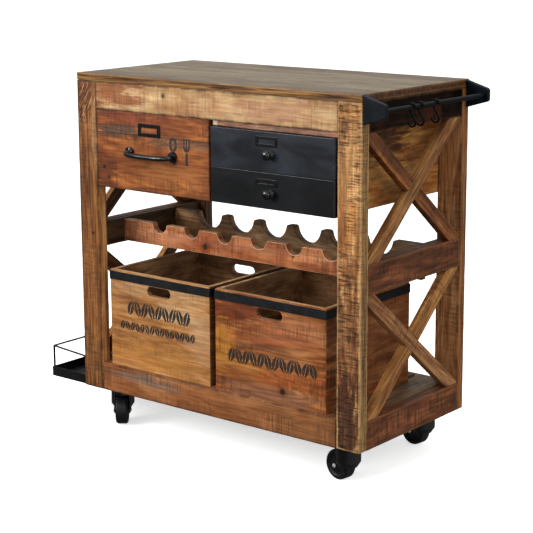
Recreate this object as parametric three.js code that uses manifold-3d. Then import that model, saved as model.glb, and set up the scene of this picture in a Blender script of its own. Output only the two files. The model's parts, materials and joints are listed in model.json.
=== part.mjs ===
// Bar cart on wheels: a wooden cart with X-braced side frames, a wooden drawer beside two steel drawers, a
// six-bottle wine rack, two pull-out crates, a towel bar with S-hooks, a side tray and four castors.
// Millimetres. The cart is drawn from the underside of its front left corner: +X right, +Y rearwards, +Z up.
// The exported group shifts it so that the origin is on the floor, under the middle of the outer box.
import * as THREE from "three";
import { mergeVertices } from "three/addons/utils/BufferGeometryUtils.js";
import Module from "manifold-3d";

const wasm = await Module();
wasm.setup();

// Driving dimensions.
const GAP = 0.3; // clearance kept between pieces that touch
const WIDTH = 900; // wooden frame, left to right
const DEPTH = 450; // wooden frame, front to rear
const HEIGHT = 837; // wooden frame, underside of the posts to the worktop
const FLOOR_CLEARANCE = 100; // castor height
const TOP_THICK = 19;
const POST = { wide: 67, deep: 29 };
const APRON = { thick: 22, bottom: 748 };
const RAIL = { thick: 30, frontTall: 74.7, rearTall: 66, sideTall: 71, midBottom: 374, midTop: 444 };
// rising and falling: where the middle of each batten enters the bay, front and rear; overrun is trimmed off.
const BRACE = { outer: 1, inner: 21, halfWidth: 17.5, rising: [48, 393], falling: [27, 403], overrun: 60 };
const UNDER_TOP = HEIGHT - TOP_THICK - GAP; // top of everything that carries the worktop

const CASE = { bottom: 553, sideThick: 15, backThick: 12 };
const DIVIDER = { left: 444, right: 462 };
const HEADER = { left: 457, front: 5, bottom: 734 };
const LEDGE = { wide: 16, tall: 12 }; // wooden runner under the wooden drawer
const STEEL_LEDGE = { wide: 10, tall: 4, rise: 5 }; // runner in each steel drawer, above its lower edge

const WOOD_DRAWER = {
  left: POST.wide + 0.5, right: 449, bottom: 547, top: APRON.bottom - 0.6, frontThick: 20,
  boxLeft: 84, boxRight: 441, boxBottom: CASE.bottom + LEDGE.tall + 1, boxTop: 725, boxRear: 395,
  wall: 12, floor: 8,
};
const BOW_HANDLE = {
  centreX: 258, z: 646, span: 146, reach: 36, sag: 4, radius: 6.5, padRadius: 13, padThick: 6,
};
const STEEL_DRAWER = {
  left: 457.5, right: 830, proud: 7, frontThick: 14, corner: 5, bodyLeft: 466, bodyRight: 814,
  bodyRear: 385, bodyRise: 10, bodyDrop: 8, wall: 2,
};
const STEEL_DRAWERS = [
  { name: "upper", bottom: 637.3, top: 733, knobZ: 680 },
  { name: "lower", bottom: 550, top: 636.7, knobZ: 587 },
];
const KNOB = { radius: 12, length: 24, neck: 6, foot: 9 };

const RACK = {
  sideInset: 30.3, sideThick: 13.7, sideBottom: 382, sideTop: 443, top: 440, boardThick: 20,
  pitch: 111.4, bottles: 6,
  front: { y: 117, bottom: 382, radius: 24.5, lip: 4.5 }, // holds the necks
  rear: { y: 318, bottom: 350, radius: 42, lip: 8 }, // holds the bodies
};

const SHELF = { top: 74.7, slatThick: 12, slats: 9, slatWide: 80, cleatDeep: 72 };
const CRATE = {
  wide: 341, deep: 348, tall: 255, wall: 12, floor: 10, front: 8, leftX: 96, rightX: 456,
  bandTall: 22, bandDrop: 4, bandThick: 1.5, holeLong: 80, holeTall: 25, holeDrop: 40,
};
const SHELF_REST = SHELF.top + GAP; // underside of the crates

const BRACKET = {
  rootLow: 768, rootHigh: 835, tipLow: 785, tipHigh: 818, corner: 4, reach: 62, thick: 12, inset: 2,
};
const BAR = { out: 50, z: 801, radius: 6 };
const HOOK = { wire: 2.5, topRadius: 9.5, lowRadius: 10, drop: 34, rows: [126, 159, 223] };

const TRAY = {
  reach: 133, front: 6, rear: 444, tall: 26, wall: 2, railInset: 5, railZ: 87, railDip: 9, wire: 4,
};

const CASTOR = {
  insetX: 77, insetY: 63, trail: 25, wheelRadius: 37.5, wheelWide: 34,
  hoodRadius: 31, hoodBottom: -49, hoodTip: -63, tipRadius: 22, slotHalf: 18.5, slotRadius: 40,
  cheek: 3, axleRadius: 4, bore: 4.3, bossRadius: 10,
};
// Which way each castor trails, in degrees from +X, anticlockwise seen from above.
const CASTOR_HEADINGS = { front_left: -51, front_right: 171, rear_left: -120, rear_right: 171 };

// Materials.
const paint = (color, roughness, metalness = 0) =>
  new THREE.MeshStandardMaterial({ color, roughness, metalness });
const MATERIALS = {
  top: paint(0x8d7f6a, 0.5),
  tan: paint(0xb0814f, 0.55),
  brown: paint(0x7d4f2c, 0.6),
  orange: paint(0xa5602f, 0.55),
  dark: paint(0x4a3220, 0.7),
  crate: paint(0xb88350, 0.6),
  steel: paint(0x23262b, 0.4, 0.6),
  iron: paint(0x15171a, 0.5, 0.5),
  rubber: paint(0x1c1c1e, 0.8),
};

const cart = new THREE.Group();

// Adds one named piece to the cart, or to another group.
function add(name, geometry, material, parent = cart) {
  const mesh = new THREE.Mesh(geometry, MATERIALS[material]);
  mesh.name = name;
  parent.add(mesh);
}

// --- geometry helpers ---

// A box between two limits along each axis.
function box([x0, x1], [y0, y1], [z0, z1]) {
  const geometry = new THREE.BoxGeometry(x1 - x0, y1 - y0, z1 - z0);
  return geometry.translate((x0 + x1) / 2, (y0 + y1) / 2, (z0 + z1) / 2);
}

// A cylinder between two heights about a vertical axis; the lower radius may differ.
function column(x, y, [z0, z1], radiusTop, radiusLow = radiusTop, sides = 24) {
  const geometry = new THREE.CylinderGeometry(radiusTop, radiusLow, z1 - z0, sides).rotateX(Math.PI / 2);
  return geometry.translate(x, y, (z0 + z1) / 2);
}

// A cylinder along Y.
function rod(x, [y0, y1], z, radius, sides = 16) {
  return new THREE.CylinderGeometry(radius, radius, y1 - y0, sides).translate(x, (y0 + y1) / 2, z);
}

// An outline drawn in X and Z, made into a board between two depths.
function boardFromFront(shape, [y0, y1], curveSegments = 5) {
  const geometry = new THREE.ExtrudeGeometry(shape, { depth: y1 - y0, bevelEnabled: false, curveSegments });
  return geometry.rotateX(Math.PI / 2).translate(0, y1, 0);
}

// An outline drawn in Y and Z, made into a board between two places across the cart.
function boardFromSide(points, [x0, x1]) {
  const shape = new THREE.Shape(points.map(([y, z]) => new THREE.Vector2(y, z)));
  const geometry = new THREE.ExtrudeGeometry(shape, { depth: x1 - x0, bevelEnabled: false });
  return geometry.rotateX(Math.PI / 2).rotateZ(Math.PI / 2).translate(x0, 0, 0);
}

function solidOf(geometry) {
  const bare = geometry.clone();
  bare.deleteAttribute("normal");
  bare.deleteAttribute("uv");
  const merged = mergeVertices(bare, 1e-3);
  return new wasm.Manifold(new wasm.Mesh({
    numProp: 3,
    vertProperties: merged.attributes.position.array,
    triVerts: new Uint32Array(merged.index.array),
  }));
}

function geometryOf(solid) {
  const mesh = solid.getMesh();
  const geometry = new THREE.BufferGeometry();
  geometry.setAttribute("position", new THREE.BufferAttribute(Float32Array.from(mesh.vertProperties), 3));
  geometry.setIndex(new THREE.BufferAttribute(Uint32Array.from(mesh.triVerts), 1));
  geometry.computeVertexNormals();
  return geometry;
}

const join = (...pieces) => geometryOf(pieces.map(solidOf).reduce((whole, piece) => whole.add(piece)));
const cut = (base, ...tools) =>
  geometryOf(tools.map(solidOf).reduce((rest, tool) => rest.subtract(tool), solidOf(base)));

// Distances measured inwards from an outer face, turned into limits along X or Y.
const across = (side, near, far) => (side === "left" ? [near, far] : [WIDTH - far, WIDTH - near]);
const along = (end, near, far) => (end === "front" ? [near, far] : [DEPTH - far, DEPTH - near]);

const SIDES = ["left", "right"];
const ENDS = ["front", "rear"];
const BETWEEN_POSTS_X = [POST.wide + GAP, WIDTH - POST.wide - GAP];
const BETWEEN_POSTS_Y = [POST.deep + GAP, DEPTH - POST.deep - GAP];

// --- wooden frame ---

add("worktop", box([0, WIDTH], [0, DEPTH], [HEIGHT - TOP_THICK, HEIGHT]), "top");

for (const end of ENDS) {
  for (const side of SIDES) {
    const post = box(across(side, 0, POST.wide), along(end, 0, POST.deep), [0, UNDER_TOP]);
    add(`post_${end}_${side}`, post, "tan");
  }
  add(`apron_${end}`, box(BETWEEN_POSTS_X, along(end, 0, APRON.thick), [APRON.bottom, UNDER_TOP]), "tan");
  const tall = end === "front" ? RAIL.frontTall : RAIL.rearTall;
  add(`bottom_rail_${end}`, box(BETWEEN_POSTS_X, along(end, 0, POST.deep), [0, tall]), "orange");
}

for (const side of SIDES) {
  const rail = across(side, 0, RAIL.thick);
  const apron = across(side, 0, APRON.thick);
  add(`apron_${side}`, box(apron, BETWEEN_POSTS_Y, [APRON.bottom, UNDER_TOP]), "brown");
  add(`mid_rail_${side}`, box(rail, BETWEEN_POSTS_Y, [RAIL.midBottom, RAIL.midTop]), "brown");
  add(`bottom_rail_${side}`, box(rail, BETWEEN_POSTS_Y, [0, RAIL.sideTall]), "brown");
}

// Cuts a convex outline along the line on which measure([y, z]) is zero and keeps its positive side.
function clipOutline(points, measure) {
  return points.flatMap((point, i) => {
    const next = points[(i + 1) % points.length];
    const [here, there] = [measure(point), measure(next)];
    const kept = here >= 0 ? [point] : [];
    if (here * there >= 0) return kept;
    const t = here / (here - there);
    return [...kept, [point[0] + (next[0] - point[0]) * t, point[1] + (next[1] - point[1]) * t]];
  });
}

// The outline of a batten that crosses a bay from low to high, with its ends cut to fit the bay.
function battenOutline([z0, z1], halfWidth, rising) {
  const [yLow, yHigh] = rising ? BRACE.rising : BRACE.falling.toReversed();
  const length = Math.hypot(yHigh - yLow, z1 - z0);
  const [ty, tz] = [(yHigh - yLow) / length, (z1 - z0) / length];
  const corner = (end, side) => {
    const [y, z] = end < 0 ? [yLow, z0] : [yHigh, z1];
    const reach = end * BRACE.overrun;
    return [y + reach * ty - side * tz * halfWidth, z + reach * tz + side * ty * halfWidth];
  };
  const strip = [corner(-1, -1), corner(1, -1), corner(1, 1), corner(-1, 1)];
  const [y0, y1] = BETWEEN_POSTS_Y;
  const bay = [([y]) => y - y0, ([y]) => y1 - y, ([, z]) => z - z0, ([, z]) => z1 - z];
  return bay.reduce(clipOutline, strip);
}

// Two battens that cross in a half lap. The through batten keeps its outer face, the other is notched there.
function crossBrace(side, level, bayZ, throughRises) {
  const middle = (BRACE.outer + BRACE.inner) / 2;
  for (const through of [true, false]) {
    const rising = through === throughRises;
    const outline = battenOutline(bayZ, BRACE.halfWidth, rising);
    const batten = boardFromSide(outline, across(side, BRACE.outer, BRACE.inner));
    const notchDepth = through ? [middle - GAP / 2, BRACE.inner + 1] : [0, middle + GAP / 2];
    const crossing = battenOutline(bayZ, BRACE.halfWidth + GAP, !rising);
    const notch = boardFromSide(crossing, across(side, ...notchDepth));
    const direction = rising ? "rising" : "falling";
    add(`brace_${side}_${level}_${direction}`, cut(batten, notch), "brown");
  }
}

for (const side of SIDES) {
  crossBrace(side, "upper", [RAIL.midTop + GAP, APRON.bottom - GAP], true);
  crossBrace(side, "lower", [RAIL.sideTall + GAP, RAIL.midBottom - GAP], false);
}

// --- drawer case ---

const CASE_SIDE_OUTER = POST.wide + GAP;
const CASE_INNER_LEFT = CASE_SIDE_OUTER + CASE.sideThick;
const CASE_INNER_RIGHT = WIDTH - CASE_INNER_LEFT;
const CASE_Z = [CASE.bottom, UNDER_TOP];
const [CASE_FRONT, CASE_REAR] = [APRON.thick + GAP, DEPTH - APRON.thick - GAP];
const CASE_BACK_FRONT = CASE_REAR - CASE.backThick; // inner face of the back board

// The ledges that a wooden or a steel drawer slides on, from one face of a case board.
function woodLedge(x0, x1) {
  return box([x0, x1], [POST.deep + GAP, WOOD_DRAWER.boxRear], [CASE.bottom, CASE.bottom + LEDGE.tall]);
}
function steelLedges(x0, x1) {
  return STEEL_DRAWERS.map(({ bottom }) =>
    box([x0, x1], [POST.deep + GAP, STEEL_DRAWER.bodyRear],
      [bottom + STEEL_LEDGE.rise, bottom + STEEL_LEDGE.rise + STEEL_LEDGE.tall]));
}

const caseSide = (side) => box(across(side, CASE_SIDE_OUTER, CASE_INNER_LEFT), [CASE_FRONT, CASE_REAR], CASE_Z);
add("case_side_left", join(
  caseSide("left"),
  woodLedge(CASE_INNER_LEFT - 1, CASE_INNER_LEFT + LEDGE.wide),
), "dark");
add("case_side_right", join(
  caseSide("right"),
  ...steelLedges(STEEL_DRAWER.bodyRight - STEEL_LEDGE.wide, CASE_INNER_RIGHT + 1),
), "dark");
add("case_divider", join(
  box([DIVIDER.left, DIVIDER.right], [CASE_FRONT, CASE_BACK_FRONT - GAP], CASE_Z),
  woodLedge(DIVIDER.left - LEDGE.wide, DIVIDER.left + 1),
  ...steelLedges(DIVIDER.right - 1, STEEL_DRAWER.bodyLeft + STEEL_LEDGE.wide),
), "dark");
add("case_back", box([CASE_INNER_LEFT + GAP, CASE_INNER_RIGHT - GAP],
  [CASE_BACK_FRONT, CASE_REAR], [CASE.bottom, APRON.bottom]), "dark");
add("case_header", box([HEADER.left, WIDTH - CASE_SIDE_OUTER], [HEADER.front, APRON.thick],
  [HEADER.bottom, APRON.bottom - GAP]), "brown");

// --- drawers ---

// A box with no lid.
function openBox([x0, x1], [y0, y1], [z0, z1], wall, floor) {
  return cut(box([x0, x1], [y0, y1], [z0, z1]),
    box([x0 + wall, x1 - wall], [y0 + wall, y1 - wall], [z0 + floor, z1 + 1]));
}

{
  const d = WOOD_DRAWER;
  add("wood_drawer_front", box([d.left, d.right], [0, d.frontThick], [d.bottom, d.top]), "orange");
  add("wood_drawer_box", openBox([d.boxLeft, d.boxRight], [d.frontThick + GAP, d.boxRear],
    [d.boxBottom, d.boxTop], d.wall, d.floor), "dark");
}

// A cast bow handle: two round pads on the drawer front and a round bar that bows out between them.
function bowHandle() {
  const { centreX, z, span, reach, sag, radius, padRadius, padThick } = BOW_HANDLE;
  const half = span / 2;
  const crown = -(reach - radius);
  const route = new THREE.CatmullRomCurve3([
    [-half, -padThick / 2], [-half, crown * 0.55], [-half * 0.72, crown * 0.92], [0, crown],
    [half * 0.72, crown * 0.92], [half, crown * 0.55], [half, -padThick / 2],
  ].map(([x, y]) => new THREE.Vector3(centreX + x, y, z - (sag * y) / crown)));
  const section = new THREE.Shape().absarc(0, 0, radius, 0, 2 * Math.PI);
  const bar = new THREE.ExtrudeGeometry(section, { steps: 20, extrudePath: route, curveSegments: 5 });
  const pads = [-half, half].map((x) => rod(centreX + x, [-padThick, -GAP], z, padRadius, 20));
  return join(bar, ...pads);
}
add("wood_drawer_handle", bowHandle(), "iron");

// A folded steel drawer: a front pan with rounded upright edges, proud of the frame, and an open box behind.
function steelDrawer({ bottom, top }) {
  const d = STEEL_DRAWER;
  const front = -d.proud;
  const back = front + d.frontThick;
  const outline = new THREE.Shape()
    .moveTo(d.left, -back)
    .lineTo(d.right, -back)
    .lineTo(d.right, -front - d.corner)
    .absarc(d.right - d.corner, -front - d.corner, d.corner, 0, Math.PI / 2)
    .absarc(d.left + d.corner, -front - d.corner, d.corner, Math.PI / 2, Math.PI);
  const settings = { depth: top - bottom, bevelEnabled: false, curveSegments: 4 };
  const pan = new THREE.ExtrudeGeometry(outline, settings).scale(1, -1, 1).translate(0, 0, bottom);
  const bodyZ = [bottom + d.bodyRise, top - d.bodyDrop];
  const body = openBox([d.bodyLeft, d.bodyRight], [back - 1, d.bodyRear], bodyZ, d.wall, d.wall);
  return join(flipped(pan), body);
}

// A geometry whose faces were turned inside out by a mirroring scale, turned back.
function flipped(geometry) {
  const g = mergeVertices(geometry.deleteAttribute("normal").deleteAttribute("uv"), 1e-3);
  const index = g.index.array;
  for (let i = 0; i < index.length; i += 3) [index[i + 1], index[i + 2]] = [index[i + 2], index[i + 1]];
  return g;
}

// A turned knob with a narrow neck, its axis along -Y.
function knob(z) {
  const { radius, length, neck, foot } = KNOB;
  const profile = [
    [0, 0], [foot, 0], [foot, 2.5], [neck, 4.5], [neck, 9],
    [radius, 13], [radius, 17], [8, 22.5], [0, length],
  ];
  const x = (STEEL_DRAWER.left + STEEL_DRAWER.right) / 2;
  return new THREE.LatheGeometry(profile.map(([r, y]) => new THREE.Vector2(r, y)), 20)
    .rotateX(Math.PI).translate(x, -STEEL_DRAWER.proud - GAP, z);
}

for (const drawer of STEEL_DRAWERS) {
  add(`steel_drawer_${drawer.name}`, steelDrawer(drawer), "steel");
  add(`steel_drawer_${drawer.name}_knob`, knob(drawer.knobZ), "iron");
}

// --- wine rack ---

// A board whose top edge has one round notch for each bottle, with small rounded lips.
function scallopedBoard({ y, bottom, radius, lip }) {
  const left = RACK.sideInset + RACK.sideThick + GAP;
  const right = WIDTH - left;
  const reach = Math.sqrt((radius + lip) ** 2 - lip ** 2); // notch centre to lip centre, along the board
  const meet = Math.atan2(lip, reach);
  const shape = new THREE.Shape().moveTo(left, bottom).lineTo(left, RACK.top);
  for (let i = 0; i < RACK.bottles; i += 1) {
    const x = WIDTH / 2 + (i - (RACK.bottles - 1) / 2) * RACK.pitch;
    shape.absarc(x - reach, RACK.top - lip, lip, Math.PI / 2, meet, true);
    shape.absarc(x, RACK.top, radius, Math.PI + meet, 2 * Math.PI - meet, false);
    shape.absarc(x + reach, RACK.top - lip, lip, Math.PI - meet, Math.PI / 2, true);
  }
  shape.lineTo(right, RACK.top).lineTo(right, bottom);
  return boardFromFront(shape, [y, y + RACK.boardThick]);
}

for (const side of SIDES) {
  const x = across(side, RACK.sideInset, RACK.sideInset + RACK.sideThick);
  add(`rack_side_${side}`, box(x, BETWEEN_POSTS_Y, [RACK.sideBottom, RACK.sideTop]), "dark");
}
add("rack_front", scallopedBoard(RACK.front), "orange");
add("rack_rear", scallopedBoard(RACK.rear), "dark");

// --- slatted shelf ---

// Slats that run from front to rear, on a deep cleat at each end that also holds the castors.
function slattedShelf() {
  const left = RAIL.thick + GAP;
  const pitch = (WIDTH - 2 * left - SHELF.slatWide) / (SHELF.slats - 1);
  const slatBottom = SHELF.top - SHELF.slatThick;
  const cleats = ENDS.map((end) => box([left, WIDTH - left],
    along(end, POST.deep + GAP, POST.deep + SHELF.cleatDeep), [0, slatBottom + 1]));
  const slats = Array.from({ length: SHELF.slats }, (_, i) =>
    box([left + i * pitch, left + i * pitch + SHELF.slatWide], BETWEEN_POSTS_Y, [slatBottom, SHELF.top]));
  return join(...cleats, ...slats);
}
add("shelf", slattedShelf(), "dark");

// --- crates ---

// A stadium-shaped hole through the front and rear walls.
function handHole(x, z) {
  const r = CRATE.holeTall / 2;
  const half = CRATE.holeLong / 2 - r;
  const shape = new THREE.Shape()
    .absarc(x + half, z, r, -Math.PI / 2, Math.PI / 2)
    .absarc(x - half, z, r, Math.PI / 2, (3 * Math.PI) / 2);
  return boardFromFront(shape, [CRATE.front - 1, CRATE.front + CRATE.deep + 1], 6);
}

function addCrate(side, x0) {
  const x = [x0, x0 + CRATE.wide];
  const y = [CRATE.front, CRATE.front + CRATE.deep];
  const top = SHELF_REST + CRATE.tall;
  const shell = openBox(x, y, [SHELF_REST, top], CRATE.wall, CRATE.floor);
  add(`crate_${side}`, cut(shell, handHole(x0 + CRATE.wide / 2, top - CRATE.holeDrop)), "crate");

  const bandZ = [top - CRATE.bandDrop - CRATE.bandTall, top - CRATE.bandDrop];
  const grown = ([low, high], by) => [low - by, high + by];
  const outer = CRATE.bandThick + GAP;
  add(`crate_${side}_band`, cut(box(grown(x, outer), grown(y, outer), bandZ),
    box(grown(x, GAP), grown(y, GAP), grown(bandZ, 1))), "iron");
}
addCrate("left", CRATE.leftX);
addCrate("right", CRATE.rightX);

// --- towel bar and hooks ---

const BAR_X = WIDTH + BAR.out;

for (const end of ENDS) {
  const { rootLow, rootHigh, tipLow, tipHigh, corner, reach, thick, inset } = BRACKET;
  const root = WIDTH + GAP;
  const tip = WIDTH + reach;
  const outline = new THREE.Shape()
    .moveTo(root, rootLow).lineTo(tip - corner, tipLow).lineTo(tip, tipLow + corner)
    .lineTo(tip, tipHigh - corner).lineTo(tip - corner, tipHigh).lineTo(root, rootHigh);
  add(`bar_bracket_${end}`, boardFromFront(outline, along(end, inset, inset + thick)), "iron");
}
const BRACKET_INNER = BRACKET.inset + BRACKET.thick + GAP;
add("towel_bar", rod(BAR_X, [BRACKET_INNER, DEPTH - BRACKET_INNER], BAR.z, BAR.radius), "iron");

// An S-shaped wire hook over the bar: a closed top loop, a slanted shank and an open lower loop.
function sHook(y) {
  const { wire, topRadius, lowRadius, drop } = HOOK;
  const topZ = BAR.z + BAR.radius + GAP + wire - topRadius;
  const lowZ = topZ - drop;
  const arc = (z, r, from, to, steps) => Array.from({ length: steps + 1 }, (_, i) => {
    const a = THREE.MathUtils.degToRad(from + ((to - from) * i) / steps);
    return new THREE.Vector3(BAR_X + r * Math.cos(a), y, z + r * Math.sin(a));
  });
  const route = new THREE.CatmullRomCurve3([
    ...arc(topZ, topRadius, -10, 205, 7), ...arc(lowZ, lowRadius, 25, -190, 7),
  ]);
  const section = new THREE.Shape().absarc(0, 0, wire, 0, 2 * Math.PI);
  return new THREE.ExtrudeGeometry(section, { steps: 26, extrudePath: route, curveSegments: 3 });
}
HOOK.rows.forEach((y, i) => add(`s_hook_${i + 1}`, sHook(y), "iron"));

// --- side tray ---

const TRAY_X = [-TRAY.reach, -GAP];
const TRAY_Y = [TRAY.front, TRAY.rear];
add("tray_pan", openBox(TRAY_X, TRAY_Y, [0, TRAY.tall], TRAY.wall, TRAY.wall), "iron");

// A guard rail of square wire: level along the outer edge, dipping to the cart at the ends, on two uprights.
function trayRail() {
  const w = TRAY.wire;
  const outerX = [-TRAY.reach + TRAY.railInset, -TRAY.reach + TRAY.railInset + w];
  const top = TRAY.railZ;
  const ends = [[TRAY.front, TRAY.front + w], [TRAY.rear - w, TRAY.rear]];
  const dipping = new THREE.Shape().moveTo(outerX[0], top - w).lineTo(-GAP, top - w - TRAY.railDip)
    .lineTo(-GAP, top - TRAY.railDip).lineTo(outerX[0], top);
  return join(box(outerX, TRAY_Y, [top - w, top]), ...ends.map((y) => boardFromFront(dipping, y)),
    ...ends.map((y) => box(outerX, y, [TRAY.tall + GAP, top - w / 2])));
}
add("tray_rail", trayRail(), "iron");

// --- castors ---

const AXLE_Z = CASTOR.wheelRadius - FLOOR_CLEARANCE;

// The swivelling hood: a round housing slotted for the wheel, two cheeks and the axle. It trails along +X.
function castorFork() {
  const c = CASTOR;
  const cheekOuter = c.slotHalf + c.cheek;
  const hood = join(column(0, 0, [c.hoodBottom, -GAP], c.hoodRadius),
    column(0, 0, [c.hoodTip, c.hoodBottom], c.hoodRadius, c.tipRadius));
  const boss = rod(c.trail, [-cheekOuter, cheekOuter], AXLE_Z, c.bossRadius);
  const web = box([-6, c.trail], [-cheekOuter, cheekOuter], [AXLE_Z - c.bossRadius + 2, -14]);
  const slot = rod(c.trail, [-c.slotHalf, c.slotHalf], AXLE_Z, c.slotRadius, 24);
  const axle = rod(c.trail, [-cheekOuter - 2, cheekOuter + 2], AXLE_Z, c.axleRadius, 12);
  return join(cut(join(hood, boss, web), slot), axle);
}

// The wheel: a rounded tread on a dished disc with a hub, turned about the axle.
function castorWheel() {
  const { wheelRadius: r, wheelWide, bore } = CASTOR;
  const half = wheelWide / 2;
  const flank = [
    [bore, half], [12, half], [14, half - 4], [25, half - 4],
    [28, half - 1], [r - 4, half - 1], [r, half - 5],
  ];
  const profile = [...flank.map(([x, y]) => [x, -y]), ...flank.toReversed(), [bore, -half]];
  return new THREE.LatheGeometry(profile.map(([x, y]) => new THREE.Vector2(x, y)), 24)
    .translate(CASTOR.trail, 0, AXLE_Z);
}

for (const end of ENDS) {
  for (const side of SIDES) {
    const place = `${end}_${side}`;
    const swivel = new THREE.Group();
    const x = side === "left" ? CASTOR.insetX : WIDTH - CASTOR.insetX;
    const y = end === "front" ? CASTOR.insetY : DEPTH - CASTOR.insetY;
    swivel.position.set(x, y, 0);
    swivel.rotation.z = THREE.MathUtils.degToRad(CASTOR_HEADINGS[place]);
    cart.add(swivel);
    add(`castor_fork_${place}`, castorFork(), "iron", swivel);
    add(`castor_wheel_${place}`, castorWheel(), "rubber", swivel);
  }
}

// --- the part's frame ---

const middle = new THREE.Box3().setFromObject(cart).getCenter(new THREE.Vector3());
cart.position.set(-middle.x, -middle.y, FLOOR_CLEARANCE);

const part = new THREE.Group();
part.add(cart);
export default part;
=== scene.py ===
"""Bar cart on wheels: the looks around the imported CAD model, with its floor, lights and camera.

Sizes in the comments and helpers are millimetres in the cart's own frame: from the underside of its front
left corner, +X right, +Y rearwards, +Z up. Blender objects are in metres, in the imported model's frame.
"""

import json
import math

import bmesh
import bpy
from mathutils import Matrix, Vector, noise


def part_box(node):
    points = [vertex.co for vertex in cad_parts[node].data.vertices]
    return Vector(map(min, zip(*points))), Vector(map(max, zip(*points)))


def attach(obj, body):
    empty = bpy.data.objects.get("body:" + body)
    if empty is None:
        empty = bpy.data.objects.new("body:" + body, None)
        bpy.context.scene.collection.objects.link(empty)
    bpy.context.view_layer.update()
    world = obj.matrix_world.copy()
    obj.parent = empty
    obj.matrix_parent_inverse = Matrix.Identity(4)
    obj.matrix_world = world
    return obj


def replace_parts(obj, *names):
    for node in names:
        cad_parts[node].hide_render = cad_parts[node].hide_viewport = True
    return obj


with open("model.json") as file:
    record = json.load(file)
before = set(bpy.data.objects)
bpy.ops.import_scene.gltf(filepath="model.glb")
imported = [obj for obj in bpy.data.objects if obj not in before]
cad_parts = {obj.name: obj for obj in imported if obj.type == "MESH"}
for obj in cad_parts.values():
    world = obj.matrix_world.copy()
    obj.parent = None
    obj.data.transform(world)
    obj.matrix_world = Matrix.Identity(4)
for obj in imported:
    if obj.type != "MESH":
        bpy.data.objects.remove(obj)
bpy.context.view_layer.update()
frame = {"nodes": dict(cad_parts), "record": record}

X, Y, Z = 0, 1, 2
MM = 0.001
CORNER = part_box("post_front_left")[0]  # the cart's own origin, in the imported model's frame
BODY_OF = {node: body for body, nodes in frame["record"]["behaviour"]["bodies"].items() for node in nodes}
JOINTS = {joint["name"]: joint for joint in frame["record"]["behaviour"]["joints"]}


def at(x, y, z):
    """A place on the cart in millimetres, as a point of the model in metres."""
    return CORNER + Vector((x, y, z)) * MM


def rgb(code):
    """A colour written as six hex digits, as the linear colour that shaders take."""
    channels = [int(code[i:i + 2], 16) / 255 for i in (0, 2, 4)]
    return [c / 12.92 if c <= 0.04045 else ((c + 0.055) / 1.055) ** 2.4 for c in channels] + [1.0]


# ---------------------------------------------------------------------------------------------------------
# Writing materials


class Nodes:
    """A node material, written one call at a time. Every call returns the socket with its result."""

    def __init__(self, name):
        self.material = bpy.data.materials.new(name)
        self.material.use_nodes = True
        self.tree = self.material.node_tree
        self.shader = self.tree.nodes["Principled BSDF"]
        self.coordinates = self.tree.nodes.new("ShaderNodeTexCoord").outputs

    def new(self, kind, inputs, output=0, **settings):
        """Adds a node with those inputs and settings, and gives one of its outputs."""
        node = self.tree.nodes.new("ShaderNode" + kind)
        for key, value in settings.items():
            setattr(node, key, value)
        for key, value in inputs.items():
            self.put(node.inputs[key], value)
        return node.outputs[output]

    def put(self, socket, value):
        """Gives a socket a value, or links the value's socket to it."""
        if isinstance(value, bpy.types.NodeSocket):
            self.tree.links.new(value, socket)
        else:
            socket.default_value = value

    def math(self, operation, a, b=0.0, clamp=False):
        return self.new("Math", {0: a, 1: b}, operation=operation, use_clamp=clamp)

    def span(self, value, low, high, to_low=0.0, to_high=1.0):
        """The value's way from low to high, eased and held at both ends."""
        limits = {"Value": value, "From Min": low, "From Max": high, "To Min": to_low, "To Max": to_high}
        return self.new("MapRange", limits, interpolation_type="SMOOTHSTEP")

    def mix(self, amount, a, b, blend="MIX"):
        inputs = {0: amount, 6: a, 7: b}
        return self.new("Mix", inputs, output=2, data_type="RGBA", blend_type=blend)

    def map(self, place, scale=(1, 1, 1), turn=(0, 0, 0), move=(0, 0, 0)):
        """A place scaled, then turned, then moved."""
        return self.new("Mapping", {"Vector": place, "Scale": scale, "Rotation": turn, "Location": move})

    def noise(self, place, size, detail=3.0, rough=0.55, twist=0.0):
        """Noise whose patches measure about size along each axis."""
        stretched = self.map(place, scale=[1 / s for s in size])
        return self.new("TexNoise", {"Vector": stretched, "Scale": 1.0, "Detail": detail, "Roughness": rough,
                                     "Distortion": twist})

    def ramp(self, value, stops):
        """The colour at a value, between stops of (value, colour)."""
        node = self.tree.nodes.new("ShaderNodeValToRGB")
        while len(node.color_ramp.elements) < len(stops):
            node.color_ramp.elements.new(0.5)
        for element, (place, colour) in zip(node.color_ramp.elements, stops):
            element.position, element.color = place, colour
        self.put(node.inputs[0], value)
        return node.outputs[0]

    def less(self, value, mark, amount):
        """The value, less the amount where the mark is 1."""
        return self.math("SUBTRACT", value, self.math("MULTIPLY", mark, amount))

    def darker(self, shade, mark, amount):
        """The shade, darkened by that share where the mark is 1."""
        return self.math("MULTIPLY", shade, self.less(1.0, mark, amount))

    def split(self, vector, axis):
        """One component of a vector."""
        return self.new("SeparateXYZ", {0: vector}, output=axis)

    def millimetres(self):
        """Where a point is on the cart, in millimetres."""
        return self.map(self.coordinates["Object"], scale=[1 / MM] * 3, move=-CORNER / MM)

    def facing(self, axis, sign):
        """1 on faces that look along the axis, 0 on the others."""
        toward = self.math("MULTIPLY", self.split(self.coordinates["Normal"], axis), sign)
        return self.span(toward, 0.6, 0.8)

    def bump(self, height, depth):
        """Relief of that many millimetres."""
        return self.new("Bump", {"Height": height, "Distance": depth * MM, "Strength": 1.0})


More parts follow.
